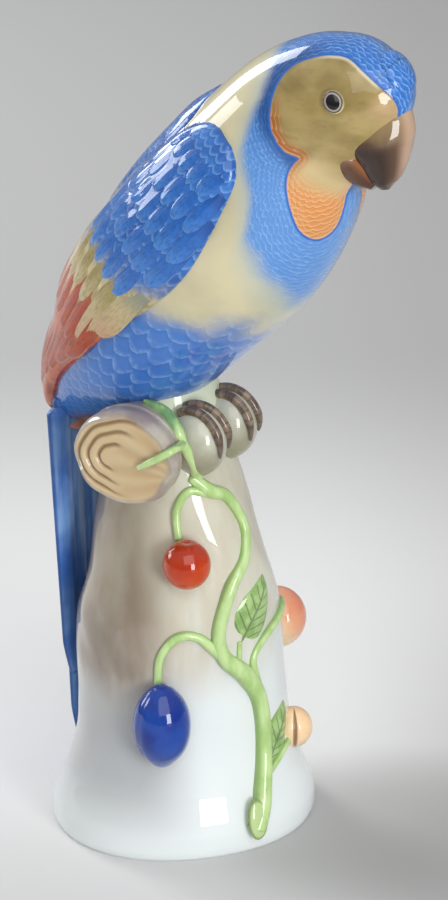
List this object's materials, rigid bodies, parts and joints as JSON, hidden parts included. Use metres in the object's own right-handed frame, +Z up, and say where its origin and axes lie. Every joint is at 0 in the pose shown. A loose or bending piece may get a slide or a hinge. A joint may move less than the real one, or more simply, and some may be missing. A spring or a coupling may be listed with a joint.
{
  "type": "parrot figurine",
  "caption": "Glazed porcelain parrot perched on a tree stump with a sawn side branch and a fruiting vine; hollow, open under the foot.",
  "frame": {"origin": "centre of the bounding box, on the plane that the foot stands on", "axes": "+Z up from the table, +X the way the bird looks, +Y to the bird's left"},
  "size_m": [0.19, 0.1224, 0.3988],
  "materials": {
    "painted_glaze": "hand-painted colours under a clear high-gloss glaze"
  },
  "bodies": {
    "root": {"porcelain_parrot": "painted_glaze"}
  },
  "joints": []
}
